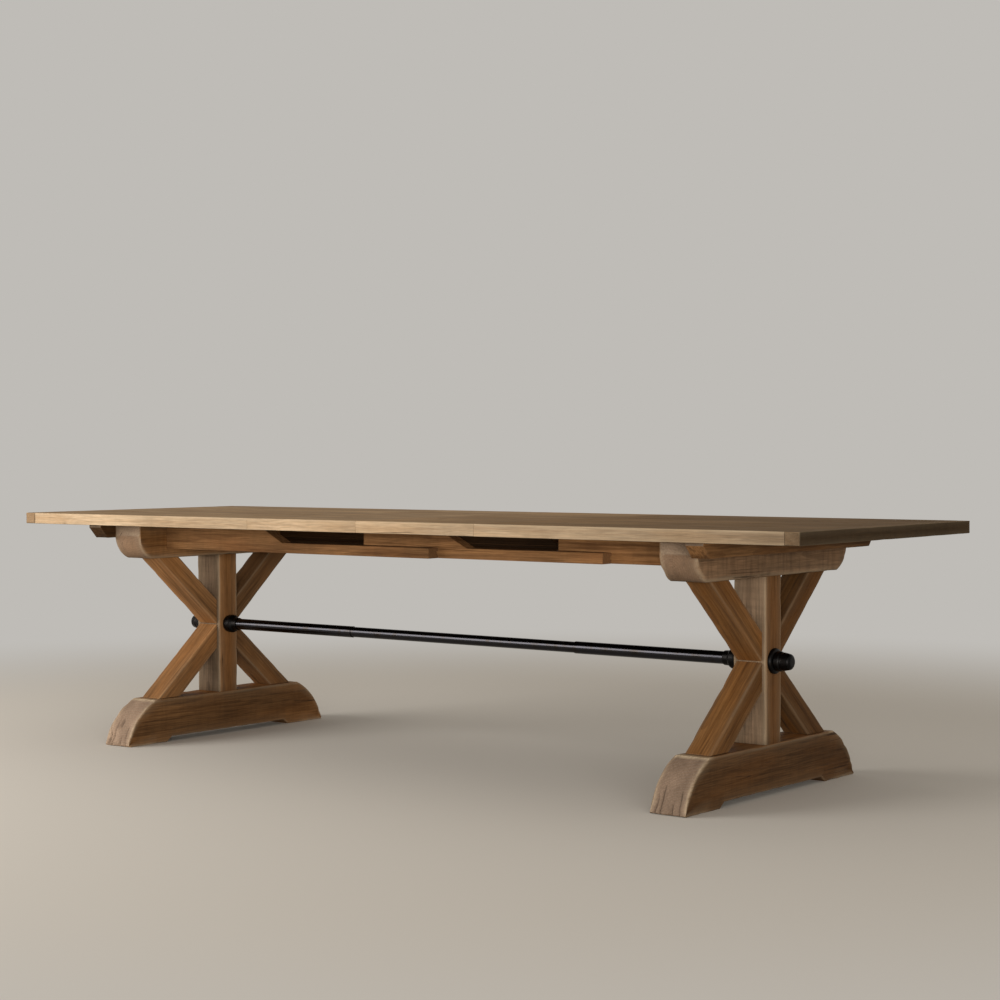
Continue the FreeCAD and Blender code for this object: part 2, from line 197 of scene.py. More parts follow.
    # The face: rings, dark streaks, patches of stain, then fibres, saw marks and clouds as light and shade
    tone = add_node(tree, "MapRange", {}, {0: rings, 1: 0.0, 2: 1.0, 3: 0.40 - 0.35 * contrast,
                                           4: 0.40 + 0.35 * contrast})
    colour = add_node(tree, "Mix", rgba, {0: tone.outputs[0], 6: linear(pale), 7: linear(mid)}).outputs[2]
    tone = add_node(tree, "MapRange", smooth, {0: drawn["streak"], 1: 0.40, 2: 0.72, 3: 0.0,
                                               4: 0.85 * contrast})
    colour = add_node(tree, "Mix", rgba, {0: tone.outputs[0], 6: colour, 7: linear(dark)}).outputs[2]
    tone = add_node(tree, "MapRange", smooth, {0: drawn["patch"], 1: 0.38, 2: 0.66, 3: 0.0, 4: 0.60})
    colour = add_node(tree, "Mix", rgba, {0: tone.outputs[0], 6: colour, 7: linear(stain)}).outputs[2]
    tone = add_node(tree, "MapRange", {}, {0: drawn["fibre"], 1: 0.35, 2: 0.65, 3: 0.80, 4: 1.10})
    mark = add_node(tree, "MapRange", {}, {0: saw, 1: 0.0, 2: 1.0, 3: 1.0, 4: 0.70})
    tone = add_node(tree, "Math", times, {0: tone.outputs[0], 1: mark.outputs[0]})
    mark = add_node(tree, "MapRange", smooth, {0: drawn["cloud"], 1: 0.34, 2: 0.66, 3: 0.96 - 0.22 * contrast,
                                              4: 0.96 + 0.22 * contrast})
    tone = add_node(tree, "Math", times, {0: tone.outputs[0], 1: mark.outputs[0]})
    colour = add_node(tree, "VectorMath", {"operation": "SCALE"},
                      {0: colour, "Scale": tone.outputs[0]}).outputs[0]
    knot_colour = [0.4 * c for c in linear(dark)[:3]] + [1.0]
    colour = add_node(tree, "Mix", rgba, {0: knot, 6: colour, 7: knot_colour}).outputs[2]

    # Cut ends are dry, with the rings and open pores showing
    tone = add_node(tree, "MapRange", {}, {0: drawn["pore"], 1: 0.30, 2: 0.70, 3: 0.78, 4: 1.14})
    dry = add_node(tree, "MapRange", smooth, {0: drawn["patch"], 1: 0.36, 2: 0.66, 3: 0.80, 4: 1.15})
    tone = add_node(tree, "Math", times, {0: tone.outputs[0], 1: dry.outputs[0]})
    end = add_node(tree, "VectorMath", {"operation": "SCALE"},
                   {0: linear(cut_end)[:3], "Scale": tone.outputs[0]})
    tone = add_node(tree, "MapRange", {}, {0: rings, 1: 0.0, 2: 1.0, 3: 0.0, 4: 0.24})
    end = add_node(tree, "Mix", rgba, {0: tone.outputs[0], 6: end.outputs[0], 7: linear(mid)}).outputs[2]
    colour = add_node(tree, "Mix", rgba, {0: cut, 6: colour, 7: end}).outputs[2]

    # Age turns the colour, each face is scaled by its own lightness, which is painted light and shade, and
    # rubbed arrises and checks come last
    colour = add_node(tree, "Mix", {"data_type": "RGBA", "blend_type": "COLOR"},
                      {0: light_and_finish.outputs["Y"], 6: colour, 7: linear(aged)}).outputs[2]
    colour = add_node(tree, "VectorMath", {"operation": "SCALE"},
                      {0: colour, "Scale": light_and_finish.outputs["X"]}).outputs[0]
    tone = add_node(tree, "MapRange", {}, {0: drawn["streak"], 1: 0.35, 2: 0.62, 3: 0.40, 4: 1.0})
    tone = add_node(tree, "Math", times, {0: arris, 1: tone.outputs[0]})
    colour = add_node(tree, "Mix", rgba, {0: tone.outputs[0], 6: colour, 7: linear(worn)}).outputs[2]
    colour = add_node(tree, "Mix", rgba, {0: check, 6: colour, 7: linear("#24160b")}).outputs[2]
    tree.links.new(colour, shader.inputs["Base Color"])

    # Dry, porous wood under thin wax gives back little of the room
    rough = add_node(tree, "MapRange", {}, {0: drawn["streak"], 1: 0.3, 2: 0.7, 3: roughness - 0.07,
                                            4: roughness + 0.09})
    tree.links.new(rough.outputs[0], shader.inputs["Roughness"])
    shader.inputs["IOR"].default_value = 1.46
    shader.inputs["Specular IOR Level"].default_value = 0.16

    # Height in millimetres: soft early wood worn back, streaks, fibres, checks, saw marks and knots
    height = add_node(tree, "Math", times, {0: rings, 1: 0.20}).outputs[0]
    for field, millimetres in ((drawn["streak"], 0.55), (drawn["fibre"], 0.30), (check, -1.2), (saw, -0.5),
                               (knot, -0.25)):
        height = add_node(tree, "Math", {"operation": "MULTIPLY_ADD"},
                          {0: field, 1: millimetres, 2: height}).outputs[0]
    relief = add_node(tree, "Bump", {}, {"Height": height, "Distance": 1 / metre, "Strength": 0.8})
    tree.links.new(relief.outputs[0], shader.inputs["Normal"])
    return material


def worn_timber(name, sections, along, across, arrises, end_ease, wander, light_and_finish, wear, end_light, seed,
                splits=(), split_sink=None, fade=0.0):
    """Closed mesh of one old timber through a run of four-cornered sections.

    A section is its corners a, b, c, d and how far its sides a-b and c-d show cut end grain. The four
    arrises are rounded, more in some places than in others, and the faces wander inwards by up to wander.
    For each side there is one (light, aged, sawn), where light is how light the side is drawn: painted light
    and shade for how the lamps fall on it. Wear is how pale the arrises are rubbed, and end_light how light
    the two ends are drawn, painted light and shade as well. Splits are places across the side c-d where it
    has opened, with half of how wide each is, and split_sink gives the way that it goes in. Light falls by
    the share fade from the middle to the far end, and grows as much towards the near end: painted light and
    shade along the timber. Glued seams and deep splits are drawn darker."""
    flat_margin = 0.0045
    face_step = 0.034
    seam_arris = 0.002
    rubbed_arris = 0.004
    drawn_dark_depth = 0.004
    drawn_dark_share = 0.45
    shift = Vector((seed * 1.7, seed * 0.9, seed * 2.3))
    pick = random.Random(seed)
    pith = Vector((4.1 * seed, pick.uniform(-0.09, 0.09), pick.uniform(0.05, 0.13) * pick.choice((-1, 1))))
    middle = sections[len(sections) // 2][0]
    counts = [max(2, round((middle[(i + 1) % 4] - middle[i]).length / face_step)) for i in range(2)]

    def least_side(corners):
        return min((corners[i] - corners[i - 1]).length for i in range(4))

    def ring(corners, inset):
        """Points round a section, each with how worn it is, the side it lies on and whether it is drawn
        darker.
        """
        centre = sum(corners, Vector()) / 4
        inset = min(inset, 0.35 * least_side(corners))
        corners = [c + ((corners[(i + 1) % 4] - c).normalized() + (corners[i - 1] - c).normalized()) * inset
                   for i, c in enumerate(corners)]
        limit = 0.3 * least_side(corners)
        rounds = [min(r * (0.55 + 0.75 * (1 + noise.noise(c * 21 + shift)) / 2), limit)
                  for c, r in zip(corners, arrises)]
        points = []
        for i, corner in enumerate(corners):
            ahead = corners[(i + 1) % 4]
            start = corner + (corners[i - 1] - corner).normalized() * rounds[i]
            end = corner + (ahead - corner).normalized() * rounds[i]
            for s in (0.0, 1 / 3, 2 / 3, 1.0):
                point = start * (1 - s) ** 2 + corner * 2 * s * (1 - s) + end * s * s
                bruise = max(0.0, noise.noise(point * 33 - shift) - 0.15)
                point = point + (centre - point).normalized() * 0.7 * arrises[i] * bruise
                rub = (1.0 if 0 < s < 1 else 0.55) * min(1.0, arrises[i] / rubbed_arris)
                points.append((point, rub, i if s >= 0.5 else (i - 1) % 4, arrises[i] < seam_arris))
            stop = ahead + (corner - ahead).normalized() * rounds[(i + 1) % 4]
            length = max((stop - end).length, 1e-6)
            inward = (corners[i - 1] - corner).normalized()
            margin = min(flat_margin / length, 0.25)
            count = counts[i % 2]
            columns = [(margin + (1 - 2 * margin) * k / count, -1, 0.22 if k in (0, count) else 0.0)
                       for k in range(count + 1)]
            if i == 2:
                for k, (share, half) in enumerate(splits):
                    columns += [(share - half / length, -1, 0.0), (share, k, 0.0),
                                (share + half / length, -1, 0.0)]
            for share, split, rub in sorted(columns):
                point = end.lerp(stop, share)
                sink = inward * wander * (1 + noise.noise(point * 7 + shift)) / 2
                opened = split_sink(point, split) if split >= 0 else Vector()
                points.append((point + sink + opened, rub, i, opened.length > drawn_dark_depth))
        return points

    def eased_end(corners, inward):
        """Rings that turn the outer faces over into an end face."""
        ease = min(end_ease, 0.3 * least_side(corners))
        rings = []
        for turn in (0, 30, 60, 90):
            out = ease * (1 - math.sin(math.radians(turn)))
            depth = ease * (1 - math.cos(math.radians(turn)))
            rings.append((ring([c + inward * depth for c in corners], out), turn))
        return rings

    def middle_of(section):
        return sum(section[0], Vector()) / 4

    first_in = (middle_of(sections[1]) - middle_of(sections[0])).normalized()
    last_in = (middle_of(sections[-2]) - middle_of(sections[-1])).normalized()
    rows = [(points, sections[0][1], sections[0][2], turn)
            for points, turn in eased_end(sections[0][0], first_in)]
    rows += [(ring(corners, 0.0), low_cut, high_cut, 90) for corners, low_cut, high_cut in sections[1:-1]]
    rows += [(points, sections[-1][1], sections[-1][2], turn)
             for points, turn in reversed(eased_end(sections[-1][0], last_in))]

    shell = bmesh.new()
    grain, worn, cut, lights_and_finishes, grid = [], [], [], [], []
    up = across.cross(along)
    origin = (middle_of(sections[0]) + middle_of(sections[-1])) / 2
    half_run = (middle_of(sections[-1]) - origin).dot(along)
    for points, low_cut, high_cut, turn in rows:
        line = []
        for point, rub, side, drawn_dark in points:
            line.append(shell.verts.new(point))
            local = point - origin
            grain.extend((local.dot(along) + pith.x, local.dot(across) + pith.y, local.dot(up) + pith.z))
            cut_side = low_cut if side == 0 else high_cut if side == 2 else 0.0
            end_rub = min(0.85, end_ease / rubbed_arris) if 0 < turn < 90 and not cut_side else 0.0
            worn.append(wear * max(rub, end_rub))
            cut.append(max(cut_side, 1.0 if turn == 0 else 0.0))
            light, aged, sawn = (end_light, 0.4, 0.0) if turn == 0 else light_and_finish[side]
            # Painted light and shade: fade draws the timber lighter towards its near end and darker towards
            # its far end. Glued seams and deep splits are then drawn darker
            light *= 1 - fade * local.dot(along) / half_run
            lights_and_finishes.extend((drawn_dark_share * light if drawn_dark and turn else light, aged, sawn))
        grid.append(line)
    for row, following in zip(grid, grid[1:]):
        for k in range(len(row)):
            shell.faces.new((row[k - 1], row[k], following[k], following[k - 1]))
    shell.faces.new(grid[0])
    shell.faces.new(list(reversed(grid[-1])))
    bmesh.ops.recalc_face_normals(shell, faces=shell.faces[:])
    for face in shell.faces:
        face.smooth = True
    mesh = bpy.data.meshes.new(name)
    shell.to_mesh(mesh)
    shell.free()
    mesh.attributes.new("grain", "FLOAT_VECTOR", "POINT").data.foreach_set("vector", grain)
    mesh.attributes.new("light_and_finish", "FLOAT_VECTOR", "POINT").data.foreach_set("vector", lights_and_finishes)
    mesh.attributes.new("worn", "FLOAT", "POINT").data.foreach_set("value", worn)
    mesh.attributes.new("cut_end", "FLOAT", "POINT").data.foreach_set("value", cut)
    timber = bpy.data.objects.new(name, mesh)
    bpy.context.scene.collection.objects.link(timber)
    timber.modifiers.new("flat_faces", "WEIGHTED_NORMAL").keep_sharp = True
    return timber


def fit(piece, node, material):
    """The piece takes a node's place: it moves with the node's body and has the slot's material."""
    piece.data.materials.append(material)
    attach(piece, frame["nodes"][node]["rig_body"])
    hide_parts(node)


# Old pine beams, planed by hand and waxed: orange brown with dark streaks and a dull sheen, greyer where the
# cut ends have dried, and pale along the arrises where the wax is rubbed off
beam_pine = old_pine("old_pine_beam_waxed", pale="#9a6c3d", mid="#7f542b", dark="#5a391a", stain="#8f5a24",
                     aged="#806b56", worn="#d6c1a2", cut_end="#a08a77", contrast=1.0, roughness=0.69,
                     ring_mm=7.0, saw_mm=16.0)
toe_top_half = 0.339
toe_bulge = 0.023
toe_steps = 14
toe_first = 0.03
toe_run = 0.955
sole_creep = 0.100
flat_steps = 22
relief_half = 0.290
relief_slope = 0.022
relief_height = 0.016
toe_splits = ((0.17, 0.003), (0.38, 0.003), (0.74, 0.003), (0.88, 0.003), (0.56, 0.007))
split_climb = (0.55, 0.30, 0.75, 0.42)
split_depth = 0.018
nail_hole_height = 0.070
nail_hole_half = 0.018
crumble_start = 0.40
crumble_run = 0.06
crumble_height = 0.05
crumble_depth = 0.014
crease_depth = 0.013
crease_margin = 0.003
crease_from = -0.004
crease_to = 0.014
crease_wear = 0.85
flat_wear_share = 0.4
# Painted light and shade: the right foot is drawn darker than the left for how the lamps fall across the
# table, and the flanks darker than the toes, partly the wood's darker colour and partly painted shade
foot_light = {"left": 0.63, "right": 0.35}
toe_light = {"left": 1.0, "right": 0.74}
foot_seed = 3

for number, side in enumerate(("left", "right")):
    node = side + "_foot"
    low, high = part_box(node)
    toe = Vector((toe_top_half - high.y, high.z))
    toe_out = Vector((toe.y, -toe.x)).normalized()
    sections = []

    def foot_section(bottom_y, bottom_z, top_y, top_z, cut_end):
        corners = [Vector((low.x, bottom_y, bottom_z)), Vector((high.x, bottom_y, bottom_z)),
                   Vector((high.x, top_y, top_z)), Vector((low.x, top_y, top_z))]
        sections.append((corners, 0.0, cut_end))

    def toe_sections(end, shares):
        for s in shares:
            top = Vector((high.y, 0)) + toe * s + toe_out * toe_bulge * 4 * s * (1 - s)
            foot_section(end * (high.y - sole_creep * s), low.z, end * top.x, top.y, 1.0)

    def toe_split(point, split):
        """How far a drying split goes into a toe, deepest at the floor, or the old nail hole in one toe."""
        if abs(point.y) < toe_top_half:
            return Vector()
        if split < len(split_climb):
            depth = max(0.0, 1 - point.z / (high.z * split_climb[split]))
        elif side == "left" and point.y < 0:
            depth = max(0.0, 1 - abs(point.z - nail_hole_height) / nail_hole_half)
        else:
            depth = 0.0
        return Vector((0, -math.copysign(toe_out.x, point.y), -0.3 * toe_out.y)) * split_depth * depth

    toe_shares = [toe_first + toe_run * i / toe_steps for i in range(toe_steps + 1)]
    toe_sections(-1, toe_shares)
    inner_half = high.y - sole_creep
    breaks = [-relief_half, -relief_half + relief_slope, relief_half - relief_slope, relief_half]
    steady = [-inner_half + 2 * inner_half * i / flat_steps for i in range(flat_steps + 1)]
    for y in sorted(breaks + steady):
        rise = min(max((relief_half - abs(y)) / relief_slope, 0.0), 1.0)
        foot_section(y, low.z + relief_height * rise, y * toe_top_half / inner_half, high.z, 0.0)
    toe_sections(1, list(reversed(toe_shares)))
    flank = (foot_light[side], 0.15, 0.3)
    foot = worn_timber(node + "_timber", sections, along=Vector((0, 1, 0)), across=Vector((1, 0, 0)),
                       arrises=(0.005, 0.005, 0.008, 0.008), end_ease=0.004, wander=0.0012,
                       light_and_finish=[flank, flank, (toe_light[side], 0.0, 0.0), flank], wear=0.42,
                       end_light=toe_light[side], seed=foot_seed + number, splits=toe_splits,
                       split_sink=toe_split)

    # The lower corners of the toes have crumbled from years of being dragged
    centre_x = (low.x + high.x) / 2
    for vertex in foot.data.vertices:
        co = vertex.co
        out = max(0.0, (abs(co.y) - crumble_start) / crumble_run) * max(0.0, 1 - co.z / crumble_height)
        crumble = crumble_depth * out * max(0.0, noise.noise(co * 55 + Vector((number, 3, 7))) + 0.1)
        edge = abs(co.x - centre_x) / (high.x - centre_x)
        vertex.co.x -= math.copysign(crumble * edge, co.x - centre_x)
        vertex.co.y -= math.copysign(crumble, co.y)

    # The crease where each toe meets the flat top is rubbed pale, and the arrises between the toes much less
    rub = foot.data.attributes["worn"].data
    for vertex in foot.data.vertices:
        from_crease = abs(vertex.co.y) - toe_top_half
        off_flank = abs(vertex.co.x - centre_x) < high.x - centre_x - crease_margin
        if vertex.co.z > high.z - crease_depth and off_flank and crease_from < from_crease < crease_to:
            rub[vertex.index].value = crease_wear
        elif from_crease < 0:
            rub[vertex.index].value *= flat_wear_share
    fit(foot, node, beam_pine)

# Posts
# A square pine post stands in the middle of each trestle. Its two ends are cut to tenons that are glued in
# mortises in the foot and the bearer, and the pipe goes through it.

tenon_half_x = 0.028
tenon_half_y = 0.022
tenon_length = 0.042
post_steps = 16
# Painted light and shade: each post's sides and its front and back are drawn lighter or darker for how the
# lamps fall on them, the right post's sides darker than the left's, and post_fade darkens each post towards
# the floor
post_light = {"left": 0.94, "right": 0.58}
post_front_light = {"left": 0.54, "right": 0.70}
post_fade = -0.22
post_seed = 11

for number, side in enumerate(("left", "right")):
    node = side + "_post"
    low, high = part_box(node)
    centre_x = (low.x + high.x) / 2
    body_half_x = (high.x - low.x) / 2
    body_half_y = high.y
    sections = []

    def post_section(z, half_x, half_y):
        corners = [Vector((centre_x - half_x, -half_y, z)), Vector((centre_x + half_x, -half_y, z)),
                   Vector((centre_x + half_x, half_y, z)), Vector((centre_x - half_x, half_y, z))]
        sections.append((corners, 0.0, 0.0))

    shoulder_low = low.z + tenon_length
    shoulder_high = high.z - tenon_length
    post_section(low.z, tenon_half_x, tenon_half_y)
    post_section(shoulder_low, tenon_half_x, tenon_half_y)
    for i in range(post_steps + 1):
        post_section(shoulder_low + (shoulder_high - shoulder_low) * i / post_steps, body_half_x, body_half_y)
    post_section(shoulder_high, tenon_half_x, tenon_half_y)
    post_section(high.z, tenon_half_x, tenon_half_y)
    faces = [(post_front_light[side], 0.9, 0.4), (post_light[side], 0.15, 0.1)] * 2
    post = worn_timber(node + "_timber", sections, along=Vector((0, 0, 1)), across=Vector((1, 0, 0)),
                       arrises=(0.007,) * 4, end_ease=0.003, wander=0.0010, light_and_finish=faces, wear=0.40,
                       end_light=1.0, seed=post_seed + number, fade=post_fade)
    fit(post, node, beam_pine)

# Diagonal braces
# Four pine braces on each trestle run from the post, at the pipe's height, out to the bearer and the foot.
# Both ends are mitred and glued, so the four read as a cross with the post through its middle.

brace_width = 0.063
brace_steps = 14
# Painted light and shade: the braces are drawn lighter or darker by side and level for how the lamps fall on
# them, and back_brace_share draws the back ones at half that lightness
brace_light = {"left_upper": 1.18, "left_lower": 1.19, "right_upper": 0.88, "right_lower": 0.64}
brace_aged = {"left": 0.15, "right": 0.0}
back_brace_share = 0.50
brace_seed = 20

for side in ("left", "right"):
    for level in ("upper", "lower"):
        for face in ("front", "back"):
            node = f"{side}_{level}_brace_{face}"
            low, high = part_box(node)
            outward = 1 if face == "back" else -1
            rise = 1 if level == "upper" else -1
            near_y, far_y = (low.y, high.y) if outward > 0 else (high.y, low.y)
            near_z, far_z = (low.z, high.z) if rise > 0 else (high.z, low.z)
            slope = math.atan2(high.z - low.z, high.y - low.y)
            outer = (Vector((near_y, near_z)), Vector((far_y, far_z)))
            inner = (Vector((near_y, near_z + rise * brace_width / math.cos(slope))),
                     Vector((far_y - outward * brace_width / math.sin(slope), far_z)))
            sections = []
            for i in range(brace_steps + 1):
                out = outer[0].lerp(outer[1], i / brace_steps)
                inn = inner[0].lerp(inner[1], i / brace_steps)
                corners = [Vector((low.x, out.x, out.y)), Vector((high.x, out.x, out.y)),
                           Vector((high.x, inn.x, inn.y)), Vector((low.x, inn.x, inn.y))]
                sections.append((corners, 0.0, 0.0))
            run = outer[1] - outer[0]
            light = random.Random(brace_seed).uniform(0.90, 1.04) * brace_light[side + "_" + level]
            light *= back_brace_share if face == "back" else 1.0
            # Painted shade: end_light draws the mitred end faces dark, as shade in the joints
            brace = worn_timber(node + "_timber", sections, along=Vector((0, run.x, run.y)).normalized(),
                                across=Vector((1, 0, 0)), arrises=(0.006,) * 4, end_ease=0.003, wander=0.0010,
                                light_and_finish=[(light, brace_aged[side], 0.1)] * 4, wear=0.15, end_light=0.35,
                                seed=brace_seed)
            fit(brace, node, beam_pine)
            brace_seed += 1

# Bearers
# A pine beam lies across the head of each post and carries the top. Its ends are rounded off below with a
# saw and plane, which leaves end grain on the whole nose; its sides keep the marks of the saw.


def upright_slice(low, high, y, bottom_z):
    """Corners of an upright slice through a timber that lies across the table."""
    return [Vector((low.x, y, bottom_z)), Vector((high.x, y, bottom_z)),
            Vector((high.x, y, high.z)), Vector((low.x, y, high.z))]


nose_inset = 0.050
nose_rise = 0.070
nose_radius = (nose_inset ** 2 + nose_rise ** 2) / (2 * nose_inset)
nose_turn = math.asin(nose_rise / nose_radius)
nose_steps = 8
nose_cut = 0.6
bearer_steps = 22
# Painted light and shade: each side of a bearer and its noses are drawn lighter or darker for how the lamps
# fall on them, the right bearer darker than the left
bearer_light_and_finish = {"left": [(0.86, 0.3, 0.2), (0.95, 0.10, 0.4), (0.8, 0.2, 0.4), (0.95, 0.3, 0.6)],
                 "right": [(0.72, 0.25, 0.2), (0.95, 0.6, 0.8), (0.8, 0.2, 0.4), (0.95, 0.3, 0.6)]}
bearer_end_light = {"left": 0.86, "right": 0.78}
bearer_seed = 41

for number, side in enumerate(("left", "right")):
    node = side + "_bearer"
    low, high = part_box(node)
    nose = [(high.y - nose_radius + nose_radius * math.cos(nose_turn * i / nose_steps),
             low.z + nose_rise - nose_radius * math.sin(nose_turn * i / nose_steps))
            for i in range(nose_steps + 1)]
    flat_half = high.y - nose_inset
    sections = [(upright_slice(low, high, -y, z), nose_cut, 0.0) for y, z in nose]
    for i in range(1, bearer_steps):
        y = -flat_half + 2 * flat_half * i / bearer_steps
        sections.append((upright_slice(low, high, y, low.z), 0.0, 0.0))
    sections += [(upright_slice(low, high, y, z), nose_cut, 0.0) for y, z in reversed(nose)]
    bearer = worn_timber(node + "_timber", sections, along=Vector((0, 1, 0)), across=Vector((1, 0, 0)),
                         arrises=(0.011, 0.011, 0.004, 0.004), end_ease=0.006, wander=0.0010,
                         light_and_finish=bearer_light_and_finish[side], wear=0.28, end_light=bearer_end_light[side],
                         seed=bearer_seed + number)
    fit(bearer, node, beam_pine)

# Cleats
# A thinner pine rail runs across under each half top, fixed against the bearer's outer side to keep the
# boards flat. Its ends are cut back on the slant. It is drawn darker than the rest as painted shade under the
# top, the left one much darker, and each lighter towards its front end as painted light.

slant_length = 0.030
slant_height = 0.033
cleat_steps = 24
# Painted light and shade: cleat_light darkens the cleats for the shade under the top, and cleat_fade draws
# each lighter towards its front end and darker towards its back
cleat_light = {"left": 0.22, "right": 0.70}
cleat_aged = {"left": 0.0, "right": 0.15}
cleat_fade = 0.35
cleat_seed = 51

for number, side in enumerate(("left", "right")):
    node = side + "_cleat"
    low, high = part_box(node)
    flat_half = high.y - slant_length
    stations = [(-high.y, slant_height), (-flat_half - slant_length / 2, slant_height / 2)]
    stations += [(-flat_half + 2 * flat_half * i / cleat_steps, 0.0) for i in range(cleat_steps + 1)]
    stations += [(flat_half + slant_length / 2, slant_height / 2), (high.y, slant_height)]
    sections = [(upright_slice(low, high, y, low.z + lift), 0.0, 0.0) for y, lift in stations]
    cleat = worn_timber(node + "_timber", sections, along=Vector((0, 1, 0)), across=Vector((1, 0, 0)),
                        arrises=(0.003,) * 4, end_ease=0.002, wander=0.0008,
                        light_and_finish=[(cleat_light[side], cleat_aged[side], 0.2)] * 4, wear=0.05, end_light=0.4,
                        seed=cleat_seed + number, fade=cleat_fade)
    fit(cleat, node, beam_pine)

# Pipe stretcher
# Two blackened steel sleeves come in through the posts, and a thinner pipe runs inside both, so the
# stretcher draws out with the table. The steel is oiled black, with a narrow sheen and faint rub marks.


def blackened_steel(name, colour, rubbed, sheen, grit_mm):
    """Iron or steel blackened in hot oil: the oxide gives back little light, and is brownish where rubbed."""
    material = bpy.data.materials.new(name)
    material.use_nodes = True
    tree = material.node_tree
    shader = tree.nodes["Principled BSDF"]
    place = add_node(tree, "TexCoord", {}, {}).outputs["Object"]
    metre = 1000.0

    # The black is mottled in spots 26 mm wide, and drawing leaves lines 170 mm long and 4 mm wide. Real grit
    # is a tenth of a millimetre and would not show, so it is drawn 1.1 mm wide
    mottle = add_node(tree, "TexNoise", {}, {"Vector": place, "Scale": metre / 26, "Detail": 4.0})
    grit = add_node(tree, "TexNoise", {}, {"Vector": place, "Scale": metre / 1.1, "Detail": 2.0})
    size = (metre / 170, metre / 4, metre / 4)
    step = add_node(tree, "VectorMath", {"operation": "MULTIPLY"}, {0: place, 1: size})
    lines = add_node(tree, "TexNoise", {}, {"Vector": step.outputs[0], "Scale": 1.0, "Detail": 2.0})
    tone = add_node(tree, "MapRange", {"interpolation_type": "SMOOTHSTEP"},
                    {0: mottle.outputs["Fac"], 1: 0.48, 2: 0.72, 3: 0.0, 4: 0.8})
    tone = add_node(tree, "Mix", {"data_type": "RGBA"},
                    {0: tone.outputs[0], 6: linear(colour), 7: linear(rubbed)})
    tree.links.new(tone.outputs[2], shader.inputs["Base Color"])
    rough = add_node(tree, "MapRange", {}, {0: lines.outputs["Fac"], 1: 0.3, 2: 0.7, 3: sheen - 0.05,
                                            4: sheen + 0.08})
    tree.links.new(rough.outputs[0], shader.inputs["Roughness"])
    shader.inputs["Metallic"].default_value = 1.0
    height = add_node(tree, "Math", {"operation": "MULTIPLY_ADD"},
                      {0: lines.outputs["Fac"], 1: 0.5, 2: grit.outputs["Fac"]}).outputs[0]
    relief = add_node(tree, "Bump", {}, {"Height": height, "Distance": grit_mm / metre, "Strength": 0.5})
    tree.links.new(relief.outputs[0], shader.inputs["Normal"])
    return material


def rounded(corners, radius):
    """A closed profile with each corner rounded by radius in three steps, unless it is on the axis."""
    points = []
    for i, corner in enumerate(corners):
        before = Vector(corners[i - 1])
        after = Vector(corners[(i + 1) % len(corners)])
        here = Vector(corner)
        if here.y == 0:
            points.append(tuple(here))
            continue
        r = min(radius, 0.45 * (before - here).length, 0.45 * (after - here).length)
        start = here + (before - here).normalized() * r
        end = here + (after - here).normalized() * r
        for s in (0.0, 1 / 3, 2 / 3, 1.0):
            points.append(tuple(start * (1 - s) ** 2 + here * 2 * s * (1 - s) + end * s * s))
    return points


def turned(name, profile):
    """Closed mesh turned round the pipe's axis from a closed profile of (x, radius)."""
    facets = 56
    shell = bmesh.new()
    rows = []
    for i in range(facets):
        angle = 2 * math.pi * i / facets
        rows.append([shell.verts.new((x, r * math.cos(angle), pipe_z + r * math.sin(angle)))
                     for x, r in profile])
    for i in range(facets):
        here, following = rows[i - 1], rows[i]
        for k in range(len(profile)):
            shell.faces.new((here[k - 1], here[k], following[k], following[k - 1]))
    bmesh.ops.remove_doubles(shell, verts=shell.verts[:], dist=1e-6)
    bmesh.ops.recalc_face_normals(shell, faces=shell.faces[:])
    for face in shell.faces:
        face.smooth = True
    mesh = bpy.data.meshes.new(name)
    shell.to_mesh(mesh)
    shell.free()
    piece = bpy.data.objects.new(name, mesh)
    bpy.context.scene.collection.objects.link(piece)
    piece.modifiers.new("crisp_turning", "WEIGHTED_NORMAL").keep_sharp = True
    return piece


# Steel pipe, drawn smooth and blackened in oil: nearly black, with one clear narrow highlight along it
pipe_black = blackened_steel("blackened_steel_pipe_drawn", "#36363a", "#332f2c", sheen=0.14, grit_mm=0.02)
pipe_z = 0.376
sleeve_bore = 0.0170
sleeve_arris = 0.0008
inner_bore = 0.0133
inner_arris = 0.0006

for side in ("left", "right"):
    node = side + "_pipe_sleeve"
    low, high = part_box(node)
    profile = [(low.x, sleeve_bore), (high.x, sleeve_bore), (high.x, high.y), (low.x, high.y)]
    sleeve = turned(node + "_turned", rounded(profile, sleeve_arris))
    fit(sleeve, node, pipe_black)

low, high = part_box("inner_pipe")
profile = [(low.x, inner_bore), (high.x, inner_bore), (high.x, high.y), (low.x, high.y)]
inner = turned("inner_pipe_turned", rounded(profile, inner_arris))
fit(inner, "inner_pipe", pipe_black)

# Pipe fittings
# A cast drum with a short neck seats each sleeve against the post's inner face. Outside, a broad flange and
# a screwed cap hold it. They are rough castings, blackened like the pipe.

# Iron cast in sand and blackened: a duller black than the pipe, with a broad soft sheen and a fine tooth
cast_black = blackened_steel("blackened_iron_cast", "#1d1c1c", "#241f1c", sheen=0.40, grit_mm=0.12)
fitting_bore = 0.0186
collar_thickness = 0.032
collar_waist = 0.0045
collar_arris = 0.003
neck_radius = 0.021
flange_dish = 0.010
flange_lip = 0.0035
flange_rim = 0.007
flange_arris = 0.0025
cap_shoulder = 0.016
cap_waist = 0.0030
cap_base_radius = 0.029
cap_end_radius = 0.023
cap_arris = 0.0035
socket_depth = 0.025

